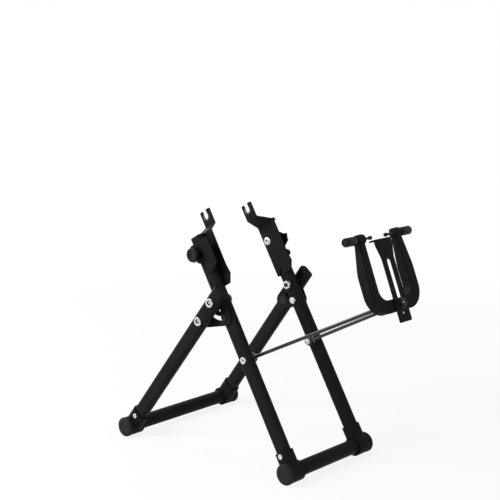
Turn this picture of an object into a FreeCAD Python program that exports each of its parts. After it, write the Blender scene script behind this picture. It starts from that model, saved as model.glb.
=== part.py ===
"""Bicycle wheel truing stand: a folding steel frame that carries a swinging caliper."""
import FreeCAD, Part
import math
import os
import re

import Sketcher

from FreeCAD import Placement, Rotation, Vector

# Driving dimensions in millimetres and degrees. Reaches, drops and tracks are measured from the middle of the
# wheel axle: reach to the front or rear, drop downwards, half track sideways from the middle plane.
SIZES = {
    # Frame
    "axle_over_bars": 389,
    "front_bar_reach": 231,
    "rear_bar_reach": 127,
    "axle_forward": 3.65,
    "pivot_drop": 128.85,
    "upright_half_track": 86,
    "upright_top_drop": 36,
    "leg_side_gap": 5,
    "leg_splay": 10,
    "leg_overrun": 26,
    "tube_width": 27,
    "tube_depth": 16,
    "tube_corner": 7,
    "tube_wall": 1.6,
    "tube_standoff": 14,
    "bar_radius": 12.5,
    "bar_wall": 1.5,
    # Corner connectors and feet
    "barrel_radius": 17,
    "barrel_length": 28,
    "rear_barrel_shift": 2,
    "sleeve_length": 35.5,
    "sleeve_wall": 3,
    "sleeve_screw_height": 29,
    "cap_radius": 17.5,
    "cap_length": 7,
    "cap_chamfer": 2.5,
    "cap_plug_length": 12,
    "leg_plug_thickness": 2.5,
    "leg_plug_depth": 4,
    # Plates of the axle brackets
    "plate_thickness": 2.5,
    "plate_corner": 2,
    "dropout_half_track": 51.2,
    "dropout_pivot_gap": 20.5,
    "dropout_bend_drop": 34,
    "dropout_upper_bend_drop": 20,
    "dropout_tip_rise": 9,
    "dropout_rear_edge": 14,
    "dropout_front_edge": 28.5,
    "dropout_tip_rear_edge": 8,
    "dropout_tip_front_edge": 17,
    "dropout_neck_rise": 30,
    "dropout_flare": 2.2,
    "dropout_flare_rise": 15,
    "dropout_heel": 21.4,
    "dropout_notch_height": 14,
    "dropout_notch_top_back": 0.5,
    "dropout_notch_rear": 10,
    "dropout_notch_front": 2,
    "axle_radius": 5,
    "hook_reach": 28,
    "hook_plate_drop": 102,
    # Bracket bolts, knobs and screws
    "bracket_bolt_radius": 4,
    "bracket_bolt_back": 4.5,
    "bracket_bolt_drop": 63,
    "bracket_head_radius": 7.5,
    "bracket_head_crown": 4,
    "bracket_head_height": 2.5,
    "hand_knob_radius": 12,
    "hand_knob_length": 15,
    "hand_knob_ribs": 10,
    "hand_knob_rib_radius": 2,
    "hand_knob_bore": 11,
    "hand_knob_gap": 0.5,
    "hand_knob_collar": 2.5,
    "upper_screw_drop": 43,
    "lower_screw_forward": 9.5,
    "lower_screw_drop": 93,
    "screw_radius": 2.5,
    "screw_head_radius": 4.5,
    "screw_head_height": 2,
    "screw_socket_radius": 2,
    "screw_socket_depth": 1.2,
    "screw_length": 7,
    # Hinge of the rear legs
    "pivot_radius": 4,
    "bolt_head_radius": 8,
    "bolt_head_height": 3,
    "socket_radius": 3.5,
    "socket_depth": 2,
    "nut_radius": 8,
    "nut_height": 5,
    "nut_stand": 1.5,
    "washer_radius": 9,
    "washer_thickness": 1.5,
    "pivot_spacer_radius": 12,
    "leg_spacer_radius": 9.5,
    "leg_bolt_reach": 46,
    "gusset_corner": 14,
    "gusset_pin_reach": 15.3,
    "gusset_pin_angle": 80,
    "gusset_pin_radius": 2,
    "gusset_pin_stand": 1,
    "lock_bolt_reach": 29.5,
    "lock_bolt_lead": 4,
    "lock_bolt_radius": 3.5,
    "lock_head_radius": 6,
    "lock_head_height": 1.8,
    "lock_nut_radius": 6.5,
    "fold_angle": 61,
    "fold_spare_angle": 3,
    "running_gap": 0.1,
    "hinge_gap": 0.3,
    "bolt_gap": 0.15,
    "tilt_gap": 0.4,
    # Swinging caliper arm
    "arm_pivot_drop": 221,
    "arm_pivot_radius": 3,
    "arm_head_radius": 6,
    "arm_head_height": 2.5,
    "arm_nut_radius": 6,
    "arm_nut_height": 4.5,
    "eye_radius": 8,
    "eye_width": 7,
    "eye_washer_thickness": 2,
    "rod_radius": 3,
    "rod_end_half_track": 43,
    "rod_socket_depth": 12,
    # Fork of the caliper
    "fork_forward": 328,
    "fork_drop": 1,
    "fork_tilt": 22,
    "fork_front": 5,
    "fork_back": 13,
    "fork_head_back": 7,
    "fork_head_height": 8,
    "fork_head_outer": 51,
    "fork_head_inner": 40,
    "fork_bulge": 60.5,
    "fork_bulge_drop": 54,
    "fork_base_drop": 120,
    "fork_base_corner": 34,
    "fork_shoulder_round": 60,
    "fork_throat_half_width": 41,
    "fork_throat_drop": 99.5,
    "fork_throat_corner": 18,
    "fork_edge_round": 2,
    "fork_head_round": 2.5,
    "fork_wedge_drop": 60,
    "fork_wedge_top_drop": 10,
    "fork_rod_drop": 108.5,
    # Feelers
    "feeler_boss_radius": 8,
    "feeler_boss_stand": 1,
    "feeler_radius": 2,
    "feeler_tip_radius": 3,
    "feeler_nose_radius": 1.2,
    "feeler_tip_length": 6,
    "feeler_tip_bore": 3,
    "feeler_rest_half_gap": 16,
    "feeler_knob_radius": 7,
    "feeler_knob_length": 25,
    "feeler_knob_bore": 12,
    "feeler_knob_gap": 5,
    "feeler_knob_chamfer": 1.2,
    # Radial gauge plate
    "gauge_thickness": 2.5,
    "gauge_half_width": 14.5,
    "gauge_head_half_width": 20.5,
    "gauge_top_drop": 5,
    "gauge_head_drop": 15,
    "gauge_neck_drop": 36,
    "gauge_bottom_drop": 138,
    "gauge_corner": 2,
    "gauge_lip": 9,
    "gauge_slot_radius": 5,
    "gauge_slot_top_drop": 37.5,
    "gauge_slot_bottom_drop": 114.5,
    "gauge_bolt_drop": 108.4,
    "gauge_bolt_radius": 4,
    "gauge_bolt_length": 14,
    "gauge_washer_gap": 0.2,
    "gauge_head_radius": 6.5,
    "gauge_head_height": 4.5,
    "gauge_hole_drop": 124,
    "gauge_hole_radius": 2.5,
    "overcut": 2,
}

# The outlines of the two outer plates, as shares of their reach forward and of their drop below the axle.
# The far one is stepped and the near one is plain.
HOOK_OUTLINE_SHARES = [
    (-0.14, 0.24), (0.49, 0.26), (0.56, 0.31), (0.25, 0.34), (0.29, 0.51), (0.46, 0.54), (0.68, 0.60),
    (1.00, 0.63), (0.88, 0.72), (0.90, 0.75), (0.39, 0.82), (0.43, 0.87), (0.66, 0.92), (0.63, 0.98),
    (0.38, 1.00), (0.14, 1.00), (0.14, 0.84), (-0.11, 0.82), (-0.43, 0.75), (-0.43, 0.49), (-0.14, 0.35),
]
SIDE_OUTLINE_SHARES = [
    (-0.55, 0.44), (1.07, 0.44), (1.07, 0.90), (0.63, 0.98), (0.38, 1.00), (0.14, 1.00), (0.14, 0.84),
    (-0.45, 0.75),
]

# How near two places are when they count as one.
TOUCH = 0.001

doc = FreeCAD.newDocument("truing_stand")
sheet = doc.addObject("Spreadsheet::Sheet", "Sizes")
for row, (alias, value) in enumerate(SIZES.items(), start=1):
    sheet.set(f"A{row}", str(value))
    sheet.setAlias(f"A{row}", alias)
doc.recompute()
nodes = []


def size(alias):
    """The number that the sheet holds under a name."""
    return float(sheet.get(alias))


def in_sheet(formula):
    """Points each size name in a formula at the sheet."""
    return re.sub(r"[a-z_]+", lambda word: f"Sizes.{word[0]}" if word[0] in SIZES else word[0], formula)


def bind(thing, **values):
    """Sets properties of an object: a text is a formula of the sheet's sizes, a number is a derived place."""
    for name, value in values.items():
        if isinstance(value, str):
            thing.setExpression(name, in_sheet(value))
        else:
            setattr(thing, name, value)
    return thing


# Derived places. X and Z are measured from the axle until spot() moves them to the part's own origin, which
# is under the middle of the whole stand, on the floor.
bars_z = -size("axle_over_bars")
axis_at_axle_x = -size("axle_forward")
lean = math.atan2(size("front_bar_reach") - axis_at_axle_x, size("axle_over_bars"))
pivot_x = axis_at_axle_x + size("pivot_drop") * math.tan(lean)
pivot_z = -size("pivot_drop")
tilt = math.atan2(pivot_x + size("rear_bar_reach"), pivot_z - bars_z)
fork_tilt = math.radians(size("fork_tilt"))
leg_half_track = size("upright_half_track") + size("tube_depth") + size("leg_side_gap")
leg_foot_half_track = leg_half_track + size("leg_splay")
rear_barrel_half_track = leg_foot_half_track + size("rear_barrel_shift")
inner_face = size("upright_half_track") - size("tube_depth") / 2
outer_face = size("upright_half_track") + size("tube_depth") / 2
inner_plate = inner_face - size("plate_thickness")
outer_plate_face = outer_face + size("plate_thickness")


def fork_spot(up, forward):
    """X and Z of a place given up along the fork and forward from the line of its feelers."""
    x = size("fork_forward") - up * math.sin(fork_tilt) + forward * math.cos(fork_tilt)
    z = -size("fork_drop") + up * math.cos(fork_tilt) + forward * math.sin(fork_tilt)
    return x, z


def upright_spot(forward, drop):
    """X and Z of a place given forward from an upright's axis and down along it from the axle."""
    x = axis_at_axle_x + forward * math.cos(lean) + drop * math.sin(lean)
    z = forward * math.sin(lean) - drop * math.cos(lean)
    return x, z


gauge_front = size("fork_front") + size("hinge_gap") + size("gauge_thickness")
front_end = fork_spot(-size("gauge_bottom_drop"), gauge_front)[0]
rear_end = -size("rear_bar_reach") - size("cap_radius")
origin_x = -(front_end + rear_end) / 2
origin_z = size("axle_over_bars") + size("cap_radius")


def spot(x, y, z):
    """A place in the part's own frame, from one measured from the middle of the axle."""
    return Vector(x + origin_x, y, z + origin_z)


def sideways(x, y, z, angle=0.0):
    """Placement with local X forward and turned up by the angle, local Y down and local Z outward."""
    ahead = Vector(math.cos(angle), 0, math.sin(angle))
    down = Vector(math.sin(angle), 0, -math.cos(angle))
    return Placement(spot(x, y, z), Rotation(ahead, down, Vector(0, 1, 0), "XYZ"))


def on_upright(y):
    """Placement on the uprights' axis beside the axle, with local X forward and local Y down the tube."""
    return sideways(axis_at_axle_x, y, 0, lean)


def on_fork(y, up, forward):
    """Placement with local X sideways, local Y up along the fork and local Z forward out of its face."""
    x, z = fork_spot(up, forward)
    along = Vector(-math.sin(fork_tilt), 0, math.cos(fork_tilt))
    ahead = Vector(math.cos(fork_tilt), 0, math.sin(fork_tilt))
    return Placement(spot(x, y, z), Rotation(Vector(0, 1, 0), along, ahead, "XYZ"))


def across_fork(y, up, forward):
    """Placement with local X up along the fork, local Y forward out of its face and local Z sideways."""
    x, z = fork_spot(up, forward)
    along = Vector(-math.sin(fork_tilt), 0, math.cos(fork_tilt))
    ahead = Vector(math.cos(fork_tilt), 0, math.sin(fork_tilt))
    return Placement(spot(x, y, z), Rotation(along, ahead, Vector(0, 1, 0), "XYZ"))


def leg_frame(foot, top):
    """Placement at the foot of a leg: local Z along it, local X across its width and local Y outward."""
    along = (top - foot).normalize()
    across = Vector(0, 1, 0).cross(along).normalize()
    return Placement(foot, Rotation(across, along.cross(across), along, "ZXY"))


def within(frame, x, y, z, turned=False):
    """A place in another frame, turned so that local Z points outward where asked."""
    turn = Rotation(Vector(1, 0, 0), -90) if turned else Rotation()
    return frame.multiply(Placement(Vector(x, y, z), turn))


def keep(thing, label):
    """Marks an object as a finished sub-part and names it."""
    thing.Label = label
    nodes.append(thing)
    return thing


def mirror(thing):
    """The same piece on the near side."""
    copy = doc.addObject("Part::Mirroring", "mirrored")
    copy.Source = thing
    copy.Normal = Vector(0, 1, 0)
    return copy


def keep_both(thing, label):
    """Keeps a piece of the far side and its mirror image."""
    keep(thing, f"far_{label}")
    keep(mirror(thing), f"near_{label}")


def keep_group(things, label):
    """Keeps like fasteners of both sides as one group."""
    group = doc.addObject("Part::Compound", "group")
    group.Links = things + [mirror(thing) for thing in things]
    return keep(group, label)


def round_bar(radius, length, placement):
    """Solid cylinder along local Z."""
    bar = doc.addObject("Part::Cylinder", "round_bar")
    bar.Placement = placement
    return bind(bar, Radius=radius, Height=length)


def cone(foot_radius, top_radius, height, placement):
    """Solid cone along local Z."""
    shape = doc.addObject("Part::Cone", "cone")
    shape.Placement = placement
    return bind(shape, Radius1=foot_radius, Radius2=top_radius, Height=height)


def hex_bar(radius, length, placement):
    """Six-sided bar along local Z, by the radius of its corners."""
    bar = doc.addObject("Part::Prism", "hex_bar")
    bar.Polygon = 6
    bar.Placement = placement
    return bind(bar, Circumradius=radius, Height=length)


def join(*pieces, refine=True):
    """One solid from several that overlap."""
    whole = doc.addObject("Part::MultiFuse", "joined")
    whole.Shapes = list(pieces)
    whole.Refine = refine
    return whole


def cut(base, *tools):
    """A solid with others taken out of it."""
    rest = doc.addObject("Part::Cut", "cut")
    rest.Base = base
    rest.Tool = tools[0] if len(tools) == 1 else join(*tools)
    return rest


def face_sketch(body, plane, outline):
    """Closed sketch on a plane of a body, with each corner held at its formula or derived place."""
    sketch = body.newObject("Sketcher::SketchObject", "outline")
    origin_features = {feature.Role: feature for feature in body.Origin.OriginFeatures}
    sketch.AttachmentSupport = (origin_features[plane], [""])
    sketch.MapMode = "FlatFace"
    count = len(outline)
    starts = [Vector(math.cos(math.tau * i / count), math.sin(math.tau * i / count), 0) for i in range(count)]
    for index, start in enumerate(starts):
        sketch.addGeometry(Part.LineSegment(start, starts[(index + 1) % count]), False)
    formulas = []
    for index, corner in enumerate(outline):
        before = (index - 1) % count
        sketch.addConstraint(Sketcher.Constraint("Coincident", before, 2, index, 1))
        for kind, value in zip(("DistanceX", "DistanceY"), corner):
            formula = isinstance(value, str)
            start = 0.0 if formula else float(value)
            place = sketch.addConstraint(Sketcher.Constraint(kind, -1, 1, index, 1, start))
            if formula:
                formulas.append((place, in_sheet(value)))
    for place, formula in formulas:
        sketch.setExpression(f"Constraints[{place}]", formula)
    return sketch


def stands_at(edge, spots):
    """Whether an edge is a line along local Z at one of the places."""
    foot, top = edge.Vertexes[0].Point, edge.Vertexes[-1].Point
    flat = Vector(top.x - foot.x, top.y - foot.y, 0).Length
    return flat < TOUCH and any(Vector(foot.x - s.x, foot.y - s.y, 0).Length < TOUCH for s in spots)


def lies_flat(edge):
    """Whether an edge lies level in local Z."""
    return edge.BoundBox.ZLength < TOUCH


def rounded(body, label, radius, wanted):
    """Rounds those edges of a body's last shape that are wanted."""
    base = body.Tip
    edges = [f"Edge{number}" for number, edge in enumerate(base.Shape.Edges, start=1) if wanted(edge)]
    fillet = bind(body.newObject("PartDesign::Fillet", label), Radius=radius)
    fillet.Base = (base, edges)
    doc.recompute()


def padded(outline, thickness, placement, rounds=(), rim=None):
    """Body with an outline padded along local Z, some corners rounded and, where asked, its rims too."""
    body = doc.addObject("PartDesign::Body", "padded")
    sketch = face_sketch(body, "XY_Plane", outline)
    pad = bind(body.newObject("PartDesign::Pad", "pad"), Length=thickness)
    pad.Profile = sketch
    doc.recompute()
    for radius, corners in rounds:
        spots = [sketch.Geometry[index].StartPoint for index in corners]
        rounded(body, "corner", radius, lambda edge: stands_at(edge, spots))
    if rim:
        rounded(body, "rim", rim, lies_flat)
    body.Placement = placement
    return body


def rounded_bar(width, depth, corner, length, placement):
    """Body of a flat-oval bar: a centred rectangle padded along local Z with its four edges rounded."""
    half_width, half_depth = f"({width}) / 2", f"({depth}) / 2"
    outline = [
        (f"-{half_width}", f"-{half_depth}"),
        (half_width, f"-{half_depth}"),
        (half_width, half_depth),
        (f"-{half_width}", half_depth),
    ]
    return padded(outline, length, placement, rounds=[(corner, range(4))])


def peg(radius, x, z, inner, length):
    """Cylinder pointing outward from a distance beside the middle plane."""
    return round_bar(radius, length, sideways(x, inner, z))


def socket_head(radius, height, placement, socket_radius="socket_radius", socket_depth="socket_depth"):
    """Round bolt head with a six-sided socket in its outer end."""
    rim = round_bar(radius, height, placement)
    socket = within(placement, 0, 0, size(height) - size(socket_depth))
    return cut(rim, hex_bar(socket_radius, f"{socket_depth} + overcut", socket))


def drill(radius, x, z, inner=0.0):
    """Cutting cylinder outward through the far side, with room around a bolt of the same body."""
    return peg(f"{radius} + bolt_gap", x, z, inner, "2 * upright_half_track")


def loose_drill(radius, x, z):
    """Cutting cylinder with room around a bolt of another body."""
    return peg(f"{radius} + hinge_gap", x, z, 0, "2 * upright_half_track")


def hollow_tube(placement, length):
    """Flat-oval tube along local Z."""
    outside = rounded_bar("tube_width", "tube_depth", "tube_corner", length, placement)
    bore = rounded_bar(
        "tube_width - 2 * tube_wall",
        "tube_depth - 2 * tube_wall",
        "tube_corner - tube_wall",
        f"{length} + 2 * overcut",
        within(placement, 0, 0, -size("overcut")),
    )
    return cut(outside, bore)


def tube_plug(placement):
    """Plug whose flange closes the end of a flat-oval tube that comes up local Z."""
    flange = rounded_bar("tube_width", "tube_depth", "tube_corner", "leg_plug_thickness", placement)
    stem = rounded_bar(
        "tube_width - 2 * (tube_wall + bolt_gap)",
        "tube_depth - 2 * (tube_wall + bolt_gap)",
        "tube_corner - tube_wall - bolt_gap",
        "leg_plug_depth + leg_plug_thickness / 2",
        within(placement, 0, 0, -size("leg_plug_depth")),
    )
    return join(flange, stem)


def outward_bolt(radius, start, end, x, z):
    """Plain shank between two distances beside the middle plane."""
    return peg(radius, x, z, start, end - start)


# Places of the bolts, as X and Z beside the axle.
pivot_spot = (pivot_x, pivot_z)
lock_direction = lean - math.pi / 2 - math.radians(size("lock_bolt_lead"))
lock_spot = (
    pivot_x + size("lock_bolt_reach") * math.cos(lock_direction),
    pivot_z + size("lock_bolt_reach") * math.sin(lock_direction),
)
leg_bolt_spot = (
    pivot_x - size("leg_bolt_reach") * math.sin(tilt),
    pivot_z - size("leg_bolt_reach") * math.cos(tilt),
)
gusset_pin_direction = math.radians(size("gusset_pin_angle"))
gusset_pin_spot = (
    pivot_x + size("gusset_pin_reach") * math.cos(gusset_pin_direction),
    pivot_z - size("gusset_pin_reach") * math.sin(gusset_pin_direction),
)
bracket_bolt_spot = upright_spot(-size("bracket_bolt_back"), size("bracket_bolt_drop"))
upper_screw_spot = upright_spot(0, size("upper_screw_drop"))
lower_screw_spot = upright_spot(size("lower_screw_forward"), size("lower_screw_drop"))
arm_bolt_spot = (axis_at_axle_x + size("arm_pivot_drop") * math.tan(lean), -size("arm_pivot_drop"))

# Frames of the four tubes of the far side, at the crossbars.
upright_foot = spot(size("front_bar_reach"), size("upright_half_track"), bars_z)
upright_frame = leg_frame(upright_foot, spot(axis_at_axle_x, size("upright_half_track"), 0))
leg_foot = spot(-size("rear_bar_reach"), leg_foot_half_track, bars_z)
leg_pivot = spot(pivot_x, leg_half_track, pivot_z)
rear_leg_frame = leg_frame(leg_foot, leg_pivot)
leg_length = (leg_pivot - leg_foot).Length
splay = size("leg_splay") / leg_length
gusset_inner = outer_face + size("hinge_gap")
gusset_outer = gusset_inner + size("plate_thickness")


def uprights():
    """Two flat-oval tubes that lean back from the front crossbar to the axle."""
    top = size("axle_over_bars") / math.cos(lean) - size("upright_top_drop")
    standoff = size("tube_standoff")
    tube = hollow_tube(within(upright_frame, 0, 0, standoff), top - standoff)
    holes = [
        drill("pivot_radius", *pivot_spot),
        drill("lock_bolt_radius", *lock_spot),
        drill("bracket_bolt_radius", *bracket_bolt_spot),
        drill("arm_pivot_radius", *arm_bolt_spot),
        sleeve_screw_hole(upright_frame),
    ]
    upright = cut(tube, *holes)
    middle = size("upright_half_track")
    screw_holes = [drill("screw_radius", x, z, middle) for x, z in (upper_screw_spot, lower_screw_spot)]
    keep(cut(upright, *screw_holes), "far_upright")
    keep(mirror(upright), "near_upright")
    keep_group([tube_plug(within(upright_frame, 0, 0, top))], "upright_plugs")


def sleeve_screw_hole(frame):
    """Cutting cylinder for the screw of a connector, from the middle of the tube outward."""
    place = within(frame, 0, 0, size("sleeve_screw_height"), turned=True)
    return round_bar("screw_radius + bolt_gap", "tube_width", place)


def connectors(frame, reach, half_track, end):
    """Two moulded corner pieces, each a barrel around the crossbar with a sleeve up its tube."""
    barrel_start = half_track - size("barrel_length") / 2
    barrel = peg("barrel_radius", reach, bars_z, barrel_start, "barrel_length")
    sleeve = rounded_bar(
        "tube_width + 2 * sleeve_wall",
        "tube_depth + 2 * sleeve_wall",
        "tube_corner + sleeve_wall",
        "sleeve_length",
        frame,
    )
    bore_start = barrel_start - size("overcut")
    bar_bore = peg("bar_radius + bolt_gap", reach, bars_z, bore_start, "2 * barrel_length")
    pocket = rounded_bar(
        "tube_width + 2 * bolt_gap",
        "tube_depth + 2 * bolt_gap",
        "tube_corner + bolt_gap",
        "2 * sleeve_length",
        within(frame, 0, 0, size("tube_standoff") - size("bolt_gap")),
    )
    keep_both(cut(join(barrel, sleeve), bar_bore, pocket, sleeve_screw_hole(frame)), f"{end}_connector")
    face = size("tube_depth") / 2 + size("sleeve_wall")
    head = within(frame, 0, face, size("sleeve_screw_height"), turned=True)
    keep_group([screw(head)], f"{end}_connector_screws")


def small_head(radius, height, placement):
    """Round bolt head with the smaller socket of a screw."""
    return socket_head(radius, height, placement, "screw_socket_radius", "screw_socket_depth")


def screw(placement):
    """Round-headed screw: the head stands up local Z from the placement and the shank goes down."""
    head = small_head("screw_head_radius", "screw_head_height", placement)
    shank = round_bar("screw_radius", "screw_length", within(placement, 0, 0, -size("screw_length")))
    return join(head, shank)


def crossbar(reach, half_track, end):
    """Round tube from side to side at the floor."""
    half_length = half_track + size("barrel_length") / 2
    half_bore = half_length + size("overcut")
    tube = peg("bar_radius", reach, bars_z, -half_length, 2 * half_length)
    bore = peg("bar_radius - bar_wall", reach, bars_z, -half_bore, 2 * half_bore)
    keep(cut(tube, bore), f"{end}_crossbar")


def foot_caps(reach, half_track, end):
    """Rubber cap on each end of a crossbar, wider than the connector so that the stand rests on it."""
    face = half_track + size("barrel_length") / 2
    straight = size("cap_length") - size("cap_chamfer")
    rim = peg("cap_radius", reach, bars_z, face, straight)
    slope_place = sideways(reach, face + straight, bars_z)
    slope = cone("cap_radius", "cap_radius - cap_chamfer", "cap_chamfer", slope_place)
    plug_start = face - size("cap_plug_length")
    plug = peg("bar_radius - bar_wall - bolt_gap", reach, bars_z, plug_start, "cap_plug_length + cap_chamfer")
    keep_both(join(rim, slope, plug), f"{end}_foot_cap")


def dropout_plates():
    """Bent plates on the inner faces of the uprights that step inward and carry the axle in an open slot."""
    upper = size("dropout_half_track") - size("plate_thickness") / 2
    bend, upper_bend = size("dropout_bend_drop"), size("dropout_upper_bend_drop")
    turn = math.atan2(inner_plate - upper, bend - upper_bend)
    shift = size("plate_thickness") * math.tan(turn / 2)
    bottom = size("pivot_drop") / math.cos(lean) - size("dropout_pivot_gap")
    tip = -size("dropout_tip_rise")
    strip_outline = [
        (bottom, inner_plate),
        (bend, inner_plate),
        (upper_bend, upper),
        (tip, upper),
        (tip, upper + size("plate_thickness")),
        (upper_bend - shift, upper + size("plate_thickness")),
        (bend - shift, inner_face),
        (bottom, inner_face),
    ]
    down = Vector(math.sin(lean), 0, -math.cos(lean))
    ahead = Vector(math.cos(lean), 0, math.sin(lean))
    reach = size("dropout_front_edge") + size("dropout_flare") + size("overcut")
    turned = Rotation(down, Vector(0, 1, 0), ahead, "XYZ")
    strip = padded(strip_outline, 2 * reach, Placement(spot(axis_at_axle_x, 0, 0) - ahead * reach, turned))
    face_outline = [
        ("-dropout_rear_edge", bottom),
        ("dropout_heel", bottom),
        ("dropout_front_edge + dropout_flare", bottom - size("dropout_flare_rise")),
        ("dropout_front_edge", bottom - size("dropout_neck_rise")),
        ("dropout_front_edge", "dropout_bend_drop"),
        ("dropout_tip_front_edge", "dropout_upper_bend_drop"),
        ("dropout_tip_front_edge", "-dropout_tip_rise"),
        ("-dropout_tip_rear_edge", "-dropout_tip_rise"),
        ("-dropout_tip_rear_edge", "dropout_upper_bend_drop"),
        ("-dropout_rear_edge", "dropout_bend_drop"),
    ]
    rounds = [("plate_corner", (0, 1, 2, 6, 7))]
    face = padded(face_outline, "upright_half_track", on_upright(0), rounds)
    plate = doc.addObject("Part::Common", "dropout_plate")
    plate.Base = strip
    plate.Tool = face
    seat_forward = -axis_at_axle_x * math.cos(lean)
    seat_drop = -axis_at_axle_x * math.sin(lean)
    half_width = size("axle_radius")
    mouth_outline = [
        (seat_forward - half_width, seat_drop),
        (seat_forward + half_width, seat_drop),
        (seat_forward + half_width, tip - size("overcut")),
        (seat_forward - half_width, tip - size("overcut")),
    ]
    mouth = padded(mouth_outline, "upright_half_track", on_upright(0))
    seat = peg("axle_radius", 0, 0, 0, "upright_half_track")
    notch_outline = [
        ("-dropout_notch_top_back", bottom - size("dropout_notch_height")),
        ("dropout_notch_front", bottom + size("overcut")),
        ("-dropout_notch_rear", bottom + size("overcut")),
    ]
    notch = padded(notch_outline, "upright_half_track", on_upright(0))
    bolt_hole = drill("bracket_bolt_radius", *bracket_bolt_spot)
    keep_both(cut(plate, mouth, seat, notch, bolt_hole), "dropout_plate")


def outer_plate(outline_shares):
    """Flat plate on the outer face of the far upright, with a hole for the bracket bolt."""
    outline = [(f"hook_reach * ({across})", f"hook_plate_drop * {down}") for across, down in outline_shares]
    plate = padded(outline, "plate_thickness", on_upright(outer_face))
    return cut(plate, drill("bracket_bolt_radius", *bracket_bolt_spot))


def outer_plates():
    """Plate with a stepped front edge outside the far upright, and a plain one outside the near upright."""
    screw_spots = (upper_screw_spot, lower_screw_spot)
    screw_holes = [drill("screw_radius", x, z) for x, z in screw_spots]
    keep(cut(outer_plate(HOOK_OUTLINE_SHARES), *screw_holes), "far_hook_plate")
    screws = doc.addObject("Part::Compound", "screws")
    screws.Links = [screw(sideways(x, outer_plate_face, z)) for x, z in screw_spots]
    keep(screws, "bracket_screws")
    keep(mirror(outer_plate(SIDE_OUTLINE_SHARES)), "near_side_plate")


def bracket_bolts():
    """Bolts through the uprights, with a low domed head inside and a hand knob on the outer end."""
    x, z = bracket_bolt_spot
    knob_start = outer_plate_face + size("hand_knob_gap")
    head_start = inner_plate - size("bracket_head_height")
    head_place = sideways(x, head_start, z)
    head = cone("bracket_head_crown", "bracket_head_radius", "bracket_head_height", head_place)
    end = knob_start + size("hand_knob_bore") - size("hinge_gap")
    head_middle = inner_plate - size("bracket_head_height") / 2
    shank = outward_bolt("bracket_bolt_radius", head_middle, end, x, z)
    keep_both(join(head, shank), "bracket_bolt")
    hub = peg("hand_knob_radius", x, z, knob_start, "hand_knob_length")
    rib_start = knob_start + size("hand_knob_collar")
    rib_length = "hand_knob_length - 2 * hand_knob_collar"
    ribs = []
    for index in range(int(size("hand_knob_ribs"))):
        turn = math.tau * index / size("hand_knob_ribs")
        rib_x = x + size("hand_knob_radius") * math.cos(turn)
        rib_z = z + size("hand_knob_radius") * math.sin(turn)
        ribs.append(peg("hand_knob_rib_radius", rib_x, rib_z, rib_start, rib_length))
    bore_start = knob_start - size("overcut")
    bore = peg("bracket_bolt_radius + hinge_gap", x, z, bore_start, "hand_knob_bore + overcut")
    keep_both(cut(join(hub, *ribs), bore), "hand_knob")


def rear_legs():
    """Two flat-oval tubes, splayed towards the floor, that fold against the uprights."""
    standoff = size("tube_standoff")
    tube = hollow_tube(within(rear_leg_frame, 0, 0, standoff), leg_length + size("leg_overrun") - standoff)
    holes = [
        loose_drill("pivot_radius", *pivot_spot),
        drill("pivot_radius", *leg_bolt_spot),
        sleeve_screw_hole(rear_leg_frame),
    ]
    keep_both(cut(tube, *holes), "rear_leg")
    keep_group([tube_plug(within(rear_leg_frame, 0, 0, leg_length + size("leg_overrun")))], "leg_plugs")


def gussets():
    """Plates bolted to the rear legs, whose arc slots slide over the lock bolts of the uprights."""
    corners = [pivot_spot, lock_spot, leg_bolt_spot]
    outline = []
    for index, (x, z) in enumerate(corners):
        next_x, next_z = corners[(index + 1) % len(corners)]
        away = math.atan2(next_z - z, next_x - x) + math.pi / 2
        for end_x, end_z in ((x, z), (next_x, next_z)):
            corner_x = end_x + size("gusset_corner") * math.cos(away)
            corner_z = end_z + size("gusset_corner") * math.sin(away)
            outline.append((corner_x - pivot_x, pivot_z - corner_z))
    middle = padded(outline, "plate_thickness", sideways(pivot_x, gusset_inner, pivot_z))
    rounds = [peg("gusset_corner", x, z, gusset_inner, "plate_thickness") for x, z in corners]
    slot_start = sideways(pivot_x, 0, pivot_z, lock_direction)
    slot_radius = "(lock_bolt_radius + hinge_gap)"
    sweep = round_bar(f"lock_bolt_reach + {slot_radius}", "2 * upright_half_track", slot_start)
    bind(sweep, Angle="fold_angle + fold_spare_angle")
    core = round_bar(f"lock_bolt_reach - {slot_radius}", "2 * upright_half_track", slot_start)
    last = lock_direction - math.radians(size("fold_angle") + size("fold_spare_angle"))
    last_x = pivot_x + size("lock_bolt_reach") * math.cos(last)
    last_z = pivot_z + size("lock_bolt_reach") * math.sin(last)
    slot_ends = [loose_drill("lock_bolt_radius", *lock_spot), loose_drill("lock_bolt_radius", last_x, last_z)]
    holes = [
        join(cut(sweep, core), *slot_ends),
        loose_drill("pivot_radius", *pivot_spot),
        drill("pivot_radius", *leg_bolt_spot),
        drill("gusset_pin_radius", *gusset_pin_spot),
    ]
    keep_both(cut(join(middle, *rounds), *holes), "gusset")
    pin = peg("gusset_pin_radius", *gusset_pin_spot, gusset_inner, "plate_thickness + gusset_pin_stand")
    keep_group([pin], "gusset_pins")


def pivot_bolts():
    """Bolts that the rear legs turn on: head and washer outside the leg, nut and washer inside."""
    x, z = pivot_spot
    washer = size("washer_thickness")
    washer_start = leg_half_track + size("tube_depth") / 2 + size("tilt_gap")
    nut_start = inner_face - washer - size("nut_height")
    head = socket_head("bolt_head_radius", "bolt_head_height", sideways(x, washer_start + washer, z))
    outer_washer = peg("washer_radius", x, z, washer_start, "washer_thickness")
    inner_washer = peg("washer_radius", x, z, inner_face - washer, "washer_thickness")
    nut = hex_bar("nut_radius", "nut_height", sideways(x, nut_start, z))
    shank = outward_bolt("pivot_radius", nut_start - size("nut_stand"), washer_start + washer, x, z)
    keep_both(join(head, outer_washer, shank, inner_washer, nut), "pivot_bolt")


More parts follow.
